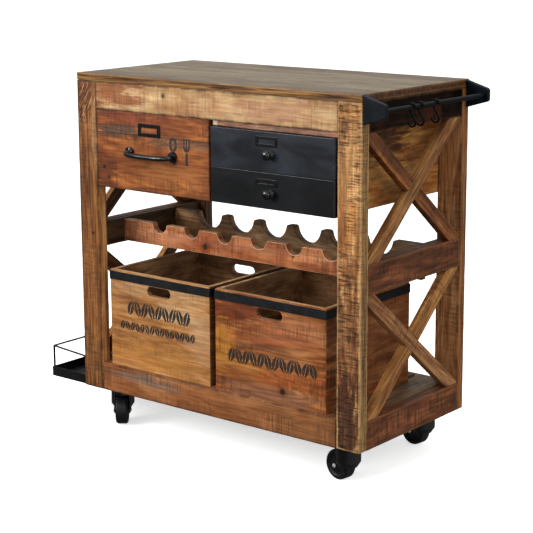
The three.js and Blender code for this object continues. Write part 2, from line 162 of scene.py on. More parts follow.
# How the wood's grain frame is turned for each direction of the grain: its X runs along the grain.
GRAIN_TURNS = {"X": (0, 0, 0), "Y": (0, 0, -math.pi / 2), "Z": (0, math.pi / 2, 0)}
SEED_SHIFT = (317.0, 173.0, 91.0)  # how far each seed moves the noise
PLANK_SHIFT = (900.0, 400.0)  # the most that a glued plank's grain is moved, along and across
RING_DENSITY = 75.0  # more cuts the wide grain into more lines
DARK_EDGE = ("2b190d", 0.6)
KNOT_RIM, KNOT_CORE = "5a3218", "24120a"


def ellipsoid(n, spot, centre, radii):
    """How far a spot is from a centre, as a share of the radii."""
    away = n.map(spot, scale=[1 / r for r in radii], move=[-c / r for c, r in zip(centre, radii)])
    return n.new("VectorMath", {0: away}, output=1, operation="LENGTH")


def grain_frame(n, spot, grain, slope, seed):
    """Where a spot lies in the wood, with X along the grain."""
    shift = [seed * step for step in SEED_SHIFT]
    if grain == "walls":
        along, around = (n.map(spot, turn=GRAIN_TURNS[axis], move=shift) for axis in "XY")
        sideways = n.math("GREATER_THAN", n.math("ABSOLUTE", n.split(n.coordinates["Normal"], X)), 0.7)
        return n.mix(sideways, along, around)
    turn = (-math.radians(slope), 0, -math.pi / 2) if slope else GRAIN_TURNS[grain]
    return n.map(spot, turn=turn, move=shift)


def glued_planks(n, spot, run, planks, seed):
    """The grain frame moved from plank to plank, each plank's random number, and a mark on the joints."""
    axis, start, width = planks
    place = n.math("DIVIDE", n.math("SUBTRACT", n.split(spot, axis), start), width)
    lot = n.new("TexWhiteNoise", {"W": n.math("ADD", n.math("FLOOR", place), seed + 0.5)},
                noise_dimensions="1D")
    jump = n.new("CombineXYZ", {i: n.math("MULTIPLY", lot, far) for i, far in enumerate(PLANK_SHIFT)})
    run = n.new("VectorMath", {0: run, 1: jump}, operation="ADD")
    joint = n.math("ABSOLUTE", n.math("SUBTRACT", n.math("FRACT", n.math("ADD", place, 0.5)), 0.5))
    return run, lot, n.span(n.math("MULTIPLY", joint, width), 1.1, 0.3)


def stained_and_shaded(n, spot, colour, patches, scuffs, ragged, torn):
    """The colour with its patches, whose outlines are torn, and with its streaky scuffs."""
    # Patches are stains, and on the right crate also a painted shadow.
    for centre, radii, tint, amount in patches:
        away = n.math("ADD", ellipsoid(n, spot, centre, radii), torn)
        colour = n.mix(n.span(away, 1.25, 0.55, 0.0, amount), colour, rgb(tint))
    for centre, radii, slant, tint, amount in scuffs:
        streaks = n.noise(n.map(spot, turn=(0, math.radians(slant), 0)), (36, 12, 4.5), detail=4, rough=0.6)
        there = n.span(n.math("ADD", ellipsoid(n, spot, centre, radii), ragged), 1.2, 0.6, 0.0, amount)
        colour = n.mix(n.math("MULTIPLY", there, n.span(streaks, 0.5, 0.6)), colour, rgb(tint))
    return colour


def knotted(n, spot, colour, knots, torn):
    """The colour with its knots: a dark core in a softer rim."""
    for centre, radius in knots:
        away = n.math("ADD", ellipsoid(n, spot, centre, (radius, radius, radius)),
                      n.math("MULTIPLY", torn, 0.6))
        colour = n.mix(n.span(away, 2.6, 0.9, 0.0, 0.5), colour, rgb(KNOT_RIM))
        colour = n.mix(n.span(away, 1.1, 0.6, 0.0, 0.9), colour, rgb(KNOT_CORE))
    return colour


def wood(name, tones, grain="X", slope=0.0, saw=0.3, saw_size=(6, 70), lines=0.35, figure=0.25,
         figure_size=(420, 55), blotch=(300, 60), patches=(), scuffs=(), knots=(), faces=(), planks=None,
         gloss=0.45, shine=0.2, edge=DARK_EDGE, grime=0.45, sawn=(0.4, 0.58), seed=0):
    """Waxed, sawn wood.

    tones: dark, middle and light colour.
    grain: the axis it runs along, or "walls" where it runs along X on some faces and along Y on those that
        look sideways. slope is instead its rise from +Y in degrees.
    saw, saw_size, sawn: strength of the marks across the grain, their pitch and length, and how much of the
        board they cover: less as the two limits rise.
    lines, figure, figure_size: strength of the fine and of the wide grain, and the latter's size.
    blotch: length and width of the changes in tone.
    patches: (centre, radii, colour, amount). scuffs: (centre, radii, slant in degrees, colour, amount) of
        streaks. knots: (centre, radius).
    faces: (axis, sign, tones, amount) gives the faces that look that way their own streaks.
    planks: (axis, start, width) of the boards that a face is glued from.
    gloss: roughness. shine: specular level. edge: colour and amount of the line along the edges.
    grime: how dark the dirt near the edges is. seed: which piece of the noise is used.
    """
    n = Nodes(name)
    spot = n.millimetres()
    run = grain_frame(n, spot, grain, slope, seed)
    if planks:
        run, lot, joint = glued_planks(n, spot, run, planks, seed)

    wide = n.noise(run, (blotch[0], blotch[1], blotch[1]), detail=3, twist=0.4)
    narrow = n.noise(run, (blotch[0] / 3, blotch[1] / 4, blotch[1] / 4), detail=4)
    tone = n.math("ADD", n.math("MULTIPLY", wide, 0.6), n.math("MULTIPLY", narrow, 0.4))
    if planks:
        tone = n.math("ADD", tone, n.math("MULTIPLY", n.math("SUBTRACT", lot, 0.5), 0.12))
    colour = n.ramp(tone, [(0.4, rgb(tones[0])), (0.5, rgb(tones[1])), (0.6, rgb(tones[2]))])
    ragged = n.math("SUBTRACT", narrow, 0.5)
    drift = n.math("SUBTRACT", n.noise(run, (160, 22, 22), detail=5, rough=0.65), 0.5)
    torn = n.math("MULTIPLY", n.math("ADD", ragged, drift), 2.4)
    colour = stained_and_shaded(n, spot, colour, patches, scuffs, ragged, torn)

    waves = n.noise(run, (figure_size[0], figure_size[1], figure_size[1]), detail=1.5, rough=0.4)
    waves = n.math("ADD", waves, n.math("MULTIPLY", drift, 0.06))
    rings = n.math("SINE", n.math("MULTIPLY", waves, RING_DENSITY))
    rings = n.math("POWER", n.math("ADD", n.math("MULTIPLY", rings, 0.5), 0.5), 2.0)
    fine = n.noise(run, (130, 6, 6), detail=6, rough=0.78)
    pores = n.span(n.noise(run, (18, 1.2, 1.2), detail=1), 0.6, 0.72)
    shade = n.less(1.0, rings, figure)
    shade = n.math("MULTIPLY", shade, n.span(fine, 0.36, 0.64, 1.0 + lines * 0.6, 1.0 - lines))
    shade = n.math("MULTIPLY", shade, n.span(pores, 0.0, 1.0, 1.0, 0.75))

    teeth = n.noise(run, (saw_size[0], saw_size[1], saw_size[1]), detail=4, rough=0.65)
    where = n.span(n.noise(run, (190, 60, 60), detail=3), *sawn)
    cuts = n.math("MULTIPLY", n.span(teeth, 0.52, 0.62), where)
    rises = n.math("MULTIPLY", n.span(teeth, 0.46, 0.38), where)
    shade = n.darker(shade, cuts, saw)
    shade = n.math("MULTIPLY", shade, n.math("ADD", 1.0, n.math("MULTIPLY", rises, saw * 0.6)))
    if planks:
        shade = n.darker(shade, joint, 0.6)
    dirty = n.new("Attribute", {}, output=2, attribute_name="grime")
    clouds = n.noise(spot, (45, 45, 45), detail=5, rough=0.65)
    dirty = n.math("MULTIPLY", dirty, n.span(clouds, 0.38, 0.62, 0.15, 1.0))
    shade = n.darker(shade, dirty, grime)
    grey = n.new("CombineXYZ", {0: shade, 1: shade, 2: shade})
    # Faces that look one way get their own tones; on some pieces these are painted light or painted shade.
    for axis, sign, streaks, amount in faces:
        band = n.noise(run, (170, 9, 9), detail=4, rough=0.6, twist=0.9)
        own = n.ramp(band, [(0.38, rgb(streaks[0])), (0.5, rgb(streaks[1])), (0.62, rgb(streaks[2]))])
        there = n.math("MULTIPLY", n.facing(axis, sign), amount)
        colour = n.mix(there, colour, own)
        grey = n.mix(n.math("MULTIPLY", there, 0.5), grey, (1.0, 1.0, 1.0, 1.0))
    colour = n.mix(1.0, colour, grey, blend="MULTIPLY")
    colour = knotted(n, spot, colour, knots, torn)

    # The line along the edges is wear; on the rack's front board its pale colour is also a painted highlight.
    edge_wear_and_highlight = n.new("Attribute", {}, output=2, attribute_name="edge")
    edge_wear_and_highlight = n.math("MULTIPLY", edge_wear_and_highlight, n.span(clouds, 0.36, 0.6, 0.25, 1.0))
    n.put(n.shader.inputs["Base Color"], n.mix(n.math("MULTIPLY", edge_wear_and_highlight, edge[1]), colour, rgb(edge[0])))
    rough = n.math("ADD", n.math("MULTIPLY", fine, 0.3), gloss - 0.15)
    n.put(n.shader.inputs["Roughness"], n.math("ADD", rough, n.math("MULTIPLY", cuts, 0.15), clamp=True))
    n.shader.inputs["Specular IOR Level"].default_value = shine
    height = n.less(n.math("MULTIPLY", fine, 0.5), pores, 0.3)
    height = n.less(height, rings, 0.15)
    height = n.less(height, cuts, min(1.2, saw * 1.8))
    if planks:
        height = n.less(height, joint, 1.8)
    n.put(n.shader.inputs["Normal"], n.bump(height, 0.6))
    return n.material


def lacquer(name, colour, worn, gloss, mottle=(60, 60, 60), pits=0.15, coat=0.0, shine=0.25):
    """Black paint or lacquer on metal: faint clouds in colour and gloss, fine pits, and paler edges.

    colour, worn: the two colours of the clouds, and mottle the clouds' size. pits: their depth.
    gloss: roughness. coat: weight of a clear coat. shine: specular level.
    """
    n = Nodes(name)
    spot = n.millimetres()
    clouds = n.noise(spot, mottle, detail=4, twist=0.6)
    grit = n.noise(spot, (1.6, 1.6, 1.6), detail=3, rough=0.7)
    base = n.mix(n.span(clouds, 0.35, 0.7), rgb(colour), rgb(worn))
    # Paler edges where an edge attribute is set: a painted highlight.
    edge_wear_and_highlight = n.new("Attribute", {}, output=2, attribute_name="edge")
    base = n.mix(n.math("MULTIPLY", edge_wear_and_highlight, 0.35), base, rgb("4a4d50"))
    n.put(n.shader.inputs["Base Color"], base)
    n.shader.inputs["Specular IOR Level"].default_value = shine
    n.shader.inputs["Coat Weight"].default_value = coat
    n.shader.inputs["Coat Roughness"].default_value = 0.12
    n.put(n.shader.inputs["Roughness"], n.math("ADD", n.math("MULTIPLY", clouds, 0.16),
                                               n.math("ADD", n.math("MULTIPLY", grit, 0.1), gloss - 0.13)))
    n.put(n.shader.inputs["Normal"], n.bump(grit, pits))
    return n.material


def stencil_paint(name):
    """Thin black stencil paint, rubbed through in streaks."""
    n = Nodes(name)
    spot = n.millimetres()
    streaks = n.noise(spot, (3, 20, 26), detail=4, rough=0.7)
    holes = n.noise(spot, (9, 9, 9), detail=5, rough=0.7)
    n.put(n.shader.inputs["Base Color"], n.mix(streaks, rgb("100b08"), rgb("2a1e15")))
    n.shader.inputs["Roughness"].default_value = 0.6
    kept = n.math("MULTIPLY", n.span(streaks, 0.3, 0.4, 0.25, 1.0), n.span(holes, 0.34, 0.44))
    n.put(n.shader.inputs["Alpha"], n.math("MULTIPLY", kept, 0.95))
    return n.material


def bright_steel(name):
    """Zinc-plated steel of the bolt heads."""
    n = Nodes(name)
    spot = n.millimetres()
    scratches = n.noise(spot, (6, 0.7, 0.7), detail=3)
    n.put(n.shader.inputs["Base Color"], n.mix(scratches, rgb("c4c7ca"), rgb("eceef0")))
    n.shader.inputs["Metallic"].default_value = 0.55
    n.put(n.shader.inputs["Roughness"], n.span(scratches, 0.3, 0.7, 0.22, 0.4))
    return n.material


# ---------------------------------------------------------------------------------------------------------
# Making pieces


def arc(centre, radius, start, end, steps):
    """Points of an arc, by its angles in degrees."""
    angles = [math.radians(start + (end - start) * i / steps) for i in range(steps + 1)]
    return [(centre[0] + radius * math.cos(a), centre[1] + radius * math.sin(a)) for a in angles]


def piece(name, bm, material, body, smooth=0.0):
    """A new object from bmesh geometry, riding on a body. Edges sharper than smooth degrees stay sharp."""
    mesh = bpy.data.meshes.new(name)
    bm.to_mesh(mesh)
    bm.free()
    made = bpy.data.objects.new(name, mesh)
    bpy.context.scene.collection.objects.link(made)
    mesh.materials.append(material)
    if smooth:
        mesh.shade_smooth()
        mesh.set_sharp_from_angle(angle=math.radians(smooth))
    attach(made, body)
    return made


def soften(made, width, segments=2, angle=30):
    """Rounds an object's edges by a bevel of that many millimetres."""
    bevel = made.modifiers.new("rounded_edges", "BEVEL")
    bevel.width, bevel.segments, bevel.limit_method = width * MM, segments, "ANGLE"
    bevel.angle_limit = math.radians(angle)
    return made


SKIN = 4  # faces further than this inside a node's box are its inner walls


def refined(node, material, width=0.8, smooth=35, segments=2, inside=None):
    """The node's own shape with shared vertices, rounded edges and smooth shading, in place of the node.

    inside: the material of the faces that lie within the node's box, such as a crate's inner walls.
    """
    bm = bmesh.new()
    bm.from_mesh(frame["nodes"][node].data)
    bmesh.ops.remove_doubles(bm, verts=bm.verts, dist=1e-5)
    bmesh.ops.dissolve_limit(bm, angle_limit=math.radians(0.4), verts=bm.verts, edges=bm.edges)
    made = piece(node + "_finish", bm, material, BODY_OF[node], smooth)
    if inside:
        low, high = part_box(node)
        made.data.materials.append(inside)
        for face in made.data.polygons:
            depth = min(min(face.center[a] - low[a], high[a] - face.center[a]) for a in (X, Y))
            above, below = face.center.z - low.z, high.z - face.center.z
            within = min(depth, above) > SKIN * MM and (face.normal.z < 0.5 or below > SKIN * MM)
            face.material_index = int(within)
    if width:
        soften(made, width, segments, angle=max(30, smooth))
    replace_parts(made, node)
    return made


def cuts_along(length, pitch, edge):
    """Distances along one side of a board: close together at its ends, even between them."""
    count = max(1, round((length - 4 * edge) / pitch))
    middle = [2 * edge + (length - 4 * edge) * i / count for i in range(count + 1)]
    return [0, edge * 0.35, edge] + middle + [length - edge, length - edge * 0.35, length]


CUT_PITCH = 18.0  # between the cuts that divide a worn board's sides
DIRT_REACH = 10  # how far in from its edges a worn board is dirty


def worn_board(node, material, wear=2.2, chips=0.5, seed=0.0):
    """A board with rounded edges in place of a box-shaped node.

    wear: the most that the edges are rounded. chips: how ragged they are.
    """
    low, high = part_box(node)
    size = high - low
    edge = wear * MM
    cuts = [cuts_along(size[a], CUT_PITCH * MM, min(edge, size[a] / 5)) for a in range(3)]
    bm = bmesh.new()
    mark, dirt = (bm.verts.layers.float.new(layer) for layer in ("edge", "grime"))
    made = {}

    def vertex(index):
        key = tuple(index)
        if key not in made:
            p = Vector([cuts[a][index[a]] for a in range(3)])
            ragged = noise.noise(p * 30 + Vector((seed, 0, 0))) + 0.6 * noise.noise(p * 110)
            r = edge * min(1.0, max(0.25, 0.62 + chips * ragged))
            inner = Vector([min(max(p[a], r), size[a] - r) for a in range(3)])
            made[key] = bm.verts.new(low + inner + (p - inner).normalized() * r)
            inset = sorted(min(p[a], size[a] - p[a]) for a in range(3))[1]
            made[key][mark] = 1.0 if inset < edge * 1.01 else 0.0
            made[key][dirt] = max(0.0, 1.0 - inset / (DIRT_REACH * MM))
        return made[key]

    for axis in range(3):
        a, b = (axis + 1) % 3, (axis + 2) % 3
        for end in (0, len(cuts[axis]) - 1):
            for u in range(len(cuts[a]) - 1):
                for v in range(len(cuts[b]) - 1):
                    ring = [(u, v), (u + 1, v), (u + 1, v + 1), (u, v + 1)]
                    index = [0, 0, 0]
                    index[axis] = end
                    loop = []
                    for index[a], index[b] in (ring if end else reversed(ring)):
                        loop.append(vertex(index))
                    bm.faces.new(loop)
    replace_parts(piece(node + "_finish", bm, material, BODY_OF[node], smooth=60), node)


RIM_BEVEL = 1.2


def outline_board(name, points, front, back, material, body):
    """A closed outline in X and Z, in millimetres, made into a board between two depths."""
    bm = bmesh.new()
    near, far = [[bm.verts.new(at(x, y, z)) for x, z in points] for y in (front, back)]
    bm.faces.new(near)
    bm.faces.new(far[::-1])
    for i in range(len(points)):
        j = (i + 1) % len(points)
        bm.faces.new((near[j], near[i], far[i], far[j]))
    bmesh.ops.recalc_face_normals(bm, faces=bm.faces)
    rims = [e for e in bm.edges if abs(e.verts[0].co.y - e.verts[1].co.y) < MM / 10]
    mark = bm.faces.layers.float.new("edge")
    for face in bmesh.ops.bevel(bm, geom=rims, offset=RIM_BEVEL * MM, segments=2, affect="EDGES",
                                profile=0.5)["faces"]:
        face[mark] = 1.0
    return piece(name, bm, material, body, smooth=35)


def turned(name, profile, place, axis, material, body, sides=48, smooth=40):
    """A turned piece: profile is (radius, height) in millimetres, and axis is where its height points."""
    bm = bmesh.new()
    rings = []
    for radius, height in profile:
        count = 1 if radius == 0 else sides
        rings.append([bm.verts.new((radius * MM * math.cos(2 * math.pi * i / count),
                                    radius * MM * math.sin(2 * math.pi * i / count), height * MM))
                      for i in range(count)])
    for lower, upper in zip(rings, rings[1:]):
        for i in range(sides):
            a, b = lower[i % len(lower)], lower[(i + 1) % len(lower)]
            c, d = upper[(i + 1) % len(upper)], upper[i % len(upper)]
            corners = [v for k, v in enumerate((a, b, c, d)) if v not in (a, b, c, d)[:k]]
            if len(corners) > 2:
                bm.faces.new(corners)
    turn = Vector((0, 0, 1)).rotation_difference(Vector(axis)).to_matrix().to_4x4()
    bmesh.ops.transform(bm, matrix=Matrix.Translation(place) @ turn, verts=bm.verts)
    bmesh.ops.recalc_face_normals(bm, faces=bm.faces)
    return piece(name, bm, material, body, smooth)


# ---------------------------------------------------------------------------------------------------------
# Wooden frame

TOP = wood(
    "worktop_wood", ("625444", "746654", "867860"), blotch=(300, 60), saw=0.05, lines=0.13, figure=0.12,
    figure_size=(520, 30), planks=(Y, 0, 75), gloss=0.36, edge=("8a6238", 0.5), grime=0.2, seed=3,
    faces=[(Y, -1, ("442a15", "81562e", "bd8c4f"), 1.0), (Y, 1, ("5f3f1f", "8a5f34", "a9773f"), 1.0),
           (X, 1, ("3a2617", "482f1f", "634124"), 1.0), (X, -1, ("4a301c", "5d3f25", "74502f"), 1.0)])
worn_board("worktop", TOP, wear=3.0, chips=0.6, seed=1)

APRON_FRONT = wood(
    "apron_front_wood", ("a97a4e", "c2986a", "cfac7e"), saw=0.25, saw_size=(5, 120), lines=0.22, figure=0.1,
    blotch=(190, 90), seed=1,
    patches=[((130, 0, 795), (95, 60, 40), "8a4a26", 0.8), ((640, 0, 775), (120, 60, 30), "bd8b6c", 0.6),
             ((430, 0, 760), (120, 60, 18), "b27c55", 0.5)],
    knots=[((300, 0, 795), 5)])
worn_board("apron_front", APRON_FRONT, seed=2)

POST_FRONT_LEFT = wood(
    "post_front_left_wood", ("653a1d", "80502c", "9a6534"), grain="Z", saw=0.3, saw_size=(6, 40), lines=0.4,
    figure=0.25, blotch=(240, 30), seed=5,
    patches=[((24, 0, 775), (46, 60, 80), "5a2d18", 0.85), ((58, 0, 700), (9, 60, 120), "b98a5c", 0.75),
             ((45, 0, 60), (25, 60, 70), "5d3a22", 0.6)],
    scuffs=[((35, 0, 770), (40, 60, 80), 62, "bd9160", 0.65)], knots=[((45, 0, 420), 4)],
    # The face that looks into the cart has lighter tones: painted light.
    faces=[(X, 1, ("a06a3a", "cc8f56", "e3ab70"), 1.0)])
worn_board("post_front_left", POST_FRONT_LEFT, wear=2.6, seed=3)

POST_FRONT_RIGHT = wood(
    "post_front_right_wood", ("6f4121", "a5703d", "d3a069"), grain="Z", saw=0.7, saw_size=(4, 34), lines=0.3,
    figure=0.1, blotch=(150, 45), edge=("d2a871", 0.6), sawn=(0.28, 0.5), seed=7,
    patches=[((866, 0, 660), (60, 60, 150), "cf9c64", 0.4), ((860, 0, 250), (60, 60, 190), "6e4127", 0.75),
             ((872, 0, 60), (50, 60, 150), "452a1f", 0.85), ((850, 0, 765), (12, 60, 24), "64402e", 0.7),
             ((846, 0, 500), (14, 60, 110), "9a5f35", 0.6), ((872, 0, 560), (10, 60, 70), "c98a45", 0.6)],
    faces=[(X, 1, ("6b4c2c", "8c683f", "a88552"), 1.0)])
worn_board("post_front_right", POST_FRONT_RIGHT, wear=2.8, chips=0.7, seed=4)

# The left rear post has darker tones than the right one: painted shade.
POST_REAR_TONES = {
    "left": (("5a3a22", "74492b", "8f6038"), ("3d281a", "513622", "6b4a2e")),
    "right": (("8f5a34", "b57c4e", "cc9868"), ("70401e", "905a2b", "a97240")),
}
for side, (tones, right_face) in POST_REAR_TONES.items():
    post_wood = wood(
        f"post_rear_{side}_wood", tones, grain="Z", saw=0.35, saw_size=(6, 50), lines=0.35, figure=0.3,
        blotch=(260, 30), seed=9, faces=[(X, 1, right_face, 1.0)])
    worn_board(f"post_rear_{side}", post_wood, wear=2.6, seed=5)

RAIL_FRONT = wood(
    "rail_front_wood", ("7c4826", "925a33", "a56d44"), saw=0.35, saw_size=(5, 110), lines=0.3, figure=0.15,
    blotch=(260, 60), seed=11,
    patches=[((220, 0, 50), (120, 60, 16), "7d7064", 0.55), ((420, 0, 60), (90, 60, 22), "a5683a", 0.5),
             ((740, 0, 35), (110, 60, 45), "94653f", 0.5), ((120, 0, 18), (70, 60, 20), "a8683a", 0.5)])
worn_board("bottom_rail_front", RAIL_FRONT, wear=2.6, seed=6)

RAIL_REAR = wood("rail_rear_wood", ("6f4426", "8a5a36", "9c6c45"), saw=0.3, lines=0.3, figure=0.25, seed=13)
worn_board("bottom_rail_rear", RAIL_REAR, seed=7)
worn_board("apron_rear", RAIL_REAR, seed=8)

APRON_SIDE = wood(
    "apron_side_wood", ("0e0704", "1c0f08", "371f10"), grain="Y", saw=0.5, saw_size=(14, 70), lines=0.3,
    shine=0.05, figure=0.2, blotch=(160, 80), edge=("6b4a2a", 0.4), grime=0.2, seed=15,
    patches=[((900, 270, 775), (60, 60, 25), "4a2413", 0.6)])
SIDE_RAIL = wood(
    "side_rail_wood", ("4f2c18", "6e3d20", "88502e"), grain="Y", saw=0.5, saw_size=(7, 70), lines=0.35,
    figure=0.2, blotch=(200, 50), edge=("8a6038", 0.35), seed=17)
for side in ("left", "right"):
    worn_board(f"apron_{side}", APRON_SIDE, seed=9)
    worn_board(f"mid_rail_{side}", SIDE_RAIL, wear=2.6, seed=10)
    worn_board(f"bottom_rail_{side}", SIDE_RAIL, wear=2.6, seed=11)


BRACES = {  # slope in degrees from +Y, tones, seed
    "upper_rising": (40.0, ("7a4e2a", "9a683a", "b0804c"), 19),
    "upper_falling": (-38.0, ("5b341a", "7a4624", "985e30"), 21),
    "lower_falling": (-38.0, ("774a2a", "94623c", "ac7c4e"), 23),
    "lower_rising": (40.0, ("7f4f2b", "9b6636", "b48044"), 25),
}
# The faces of the braces that look into the cart have darker tones: painted shade.
for side, inward in (("left", 1), ("right", -1)):
    for place, (slope, tones, seed) in BRACES.items():
        brace_wood = wood(
            f"brace_{side}_{place}_wood", tones, slope=slope, saw=0.3, saw_size=(8, 60), lines=0.4,
            figure=0.3, figure_size=(500, 40), blotch=(220, 30), seed=seed,
            faces=[(X, inward, ("342013", "4f321e", "69462a"), 0.85)])
        refined(f"brace_{side}_{place}", brace_wood, width=1.5)

# ---------------------------------------------------------------------------------------------------------
# Drawer case and drawers

CASE_SIDE = wood(
    "case_side_wood", ("74451f", "ad6c35", "c68e4c"), grain="Y", saw=0.1, lines=0.3, figure=0.3,
    figure_size=(300, 60), blotch=(170, 60), seed=27, planks=(Z, 553, 98),
    patches=[((832, 190, 700), (60, 100, 40), "3d2613", 0.85), ((832, 60, 690), (60, 50, 30), "a04f24", 0.6)],
    knots=[((832, 95, 640), 9)])
# Very dark brown for the divider and the drawer box: painted shade of the case's inside.
CASE_DARK = wood("case_inner_wood", ("2e2118", "443022", "5b412c"), grain="walls", saw=0.15, seed=29)
refined("case_side_right", CASE_SIDE, width=1.2)
refined("case_side_left", CASE_SIDE, width=1.2)
refined("case_divider", CASE_DARK, width=1.2)
worn_board("case_back", wood("case_back_wood", ("5f4027", "7a5536", "92683f"), saw=0.25, seed=31,
                             planks=(Z, 553, 98)), seed=12)
HEADER = wood("header_wood", ("80553f", "ac7d64", "cfa284"), saw=0.1, lines=0.4, figure=0.2, seed=33,
              patches=[((465, 0, 741), (9, 60, 20), "e8cfae", 0.95)])
worn_board("case_header", HEADER, wear=1.2, seed=13)

DRAWER_FRONT = wood(
    "wood_drawer_front_wood", ("7c4220", "965529", "b26c38"), saw=0.3, saw_size=(6, 60), lines=0.3,
    figure=0.25, figure_size=(380, 45), blotch=(200, 60), planks=(Z, 547, 143), seed=35, grime=0.35,
    patches=[((180, 0, 730), (190, 60, 26), "85432a", 0.75), ((150, 0, 697), (100, 60, 16), "4f4136", 0.85),
             ((340, 0, 680), (120, 60, 16), "6f5644", 0.6), ((100, 0, 590), (45, 60, 55), "602f1a", 0.75),
             ((330, 0, 590), (110, 60, 40), "b0703c", 0.5), ((120, 0, 742), (60, 60, 10), "5a3322", 0.6)],
    knots=[((92, 0, 600), 6), ((108, 0, 575), 5)])
worn_board("wood_drawer_front", DRAWER_FRONT, wear=2.2, seed=14)
refined("wood_drawer_box", CASE_DARK, width=0.8)

# The upper drawer's lacquer is lighter and bluer than the lower one's: a painted reflection.
STEEL_COLOURS = {"upper": ("101318", "262b33"), "lower": ("040507", "0b0d11")}
STEEL = {
    level: lacquer(f"{level}_drawer_lacquer", colour, worn, gloss=0.3, pits=0.02, mottle=(170, 60, 60),
                   shine=0.5)
    for level, (colour, worn) in STEEL_COLOURS.items()
}
IRON = lacquer("cast_black", "050606", "0b0c0d", gloss=0.24, pits=0.06, shine=0.5)
KNOB_BLACK = lacquer("knob_black", "030404", "070809", gloss=0.2, pits=0.01, coat=0.2, shine=0.45)
SHEET_BLACK = lacquer("sheet_black", "060707", "0d0e0f", gloss=0.45, pits=0.06)
BAR_BLACK = lacquer("bar_black", "020304", "050708", gloss=0.4, pits=0.04, shine=0.12)
BRACKET_BLACK = lacquer("bracket_black", "04070b", "0c1722", gloss=0.4, pits=0.06, shine=0.14)
BAND_BLACK = lacquer("band_black", "090b0d", "14171a", gloss=0.5, pits=0.15, mottle=(30, 30, 30))
BOLT = bright_steel("bolt_zinc")
PAINT = stencil_paint("stencil_paint")


def frame_ring(name, x, z, border, front, back, radius, material, body):
    """A rectangular frame with rounded corners that stands on a face looking forward.

    x, z: its outer limits. border: how wide its sides are. front, back: its depths.
    """
    bm = bmesh.new()
    loops = []
    for y, inset in ((back, 0), (front, 0), (front, border), (back, border)):
        r = max(0.5, radius - inset)
        corners = [(x[1] - inset - r, z[1] - inset - r, 0), (x[0] + inset + r, z[1] - inset - r, 90),
                   (x[0] + inset + r, z[0] + inset + r, 180), (x[1] - inset - r, z[0] + inset + r, 270)]
        loops.append([bm.verts.new(at(px, y, pz)) for cx, cz, start in corners
                      for px, pz in arc((cx, cz), r, start, start + 90, 5)])
    for a, b in zip(loops, loops[1:] + loops[:1]):
        for i in range(len(a)):
            j = (i + 1) % len(a)
            bm.faces.new((a[i], a[j], b[j], b[i]))
    bmesh.ops.recalc_face_normals(bm, faces=bm.faces)
    return soften(piece(name, bm, material, body, smooth=35), 0.5)


KNOB_PROFILE = [
    (0, 0), (11.3, 0), (11.6, 1.6), (10.4, 3.4), (7, 5), (6, 7.5), (7, 9.5), (10, 11.5), (11.7, 14),
    (12, 16.5), (11.2, 19.3), (9, 22), (5.6, 23.6), (0, 24),
]
STEEL_FACE_Y = -7  # front face of the steel drawers
for level, card_z in (("upper", (698, 722)), ("lower", (604, 621))):
    drawer = f"steel_drawer_{level}"
    refined(drawer, STEEL[level], width=1.6, segments=3)
    frame_ring(drawer + "_card_frame", (600, 664), card_z, border=6, front=-9.4, back=-6.8, radius=3,
               material=IRON, body=drawer)
    low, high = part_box(drawer + "_knob")
    place = (low + high) / 2
    place.y = at(0, STEEL_FACE_Y, 0).y
    knob = turned(drawer + "_knob_finish", KNOB_PROFILE, place, (0, -1, 0), KNOB_BLACK,
                  BODY_OF[drawer + "_knob"], smooth=60)
    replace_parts(knob, drawer + "_knob")

frame_ring("label_holder", (215, 289), (689, 721), border=9, front=-2.6, back=0.1, radius=2,
           material=IRON, body="wood_drawer")


DRAWER_PAINT_Y, CRATE_PAINT_Y = -0.35, 7.7  # just in front of the faces that are painted


def decal(name, shapes, y, body):
    """Flat painted shapes, outlines in X and Z, just in front of a face that looks forward."""
    bm = bmesh.new()
    for shape in shapes:
        bm.faces.new([bm.verts.new(at(x, y, z)) for x, z in shape])
    bmesh.ops.recalc_face_normals(bm, faces=bm.faces)
    for face in bm.faces:
        if face.normal.y > 0:
            face.normal_flip()
    return piece(name, bm, PAINT, body)


LEAF_TILT = 16


def leaf(x, z, length, width, tilt, steps=8):
    """The two halves of a pointed leaf, with the gap of a stencil between them."""
    halves = []
    for side in (-1, 1):
        spine = [(side * width * 0.06, length * (i / steps - 0.5) * 0.92) for i in range(steps + 1)]
        rim = [(side * width / 2 * max(0.12, math.sin(math.pi * i / steps) ** 0.7),
                length * (i / steps - 0.5)) for i in range(steps, -1, -1)]
        c, s = math.cos(math.radians(tilt)), math.sin(math.radians(tilt))
        halves.append([(x + u * c - v * s, z + u * s + v * c) for u, v in spine + rim])
    return halves


def diamond(x, z, size):
    """A diamond, twice as tall as it is wide."""
    return [(x - size / 2, z), (x, z + size), (x + size / 2, z), (x, z - size)]


def leaf_row(left, right, bottom, top, count):
    """A frieze of leaves that lean to and fro, with diamonds between them."""
    shapes, pitch, tall = [], (right - left) / count, top - bottom
    for i in range(count):
        x = left + (i + 0.5) * pitch
        shapes += leaf(x, (bottom + top) / 2, tall, pitch * 0.9, LEAF_TILT if i % 2 else -LEAF_TILT)
        if i % 2:
            shapes.append(diamond(x - pitch / 2, top - tall * 0.12, tall * 0.1))
        elif i:
            shapes.append(diamond(x - pitch / 2, bottom + tall * 0.12, tall * 0.1))
    return shapes


def ring(x, z, outer, inner, steps=28):
    """An oval band, in quarters."""
    shapes = []
    for q in range(4):
        turn = [math.radians(90 * q + 4 + 82 * i / (steps // 4)) for i in range(steps // 4 + 1)]
        shapes.append([(x + outer[0] * math.cos(a), z + outer[1] * math.sin(a)) for a in turn]
                      + [(x + inner[0] * math.cos(a), z + inner[1] * math.sin(a)) for a in reversed(turn)])
    return shapes


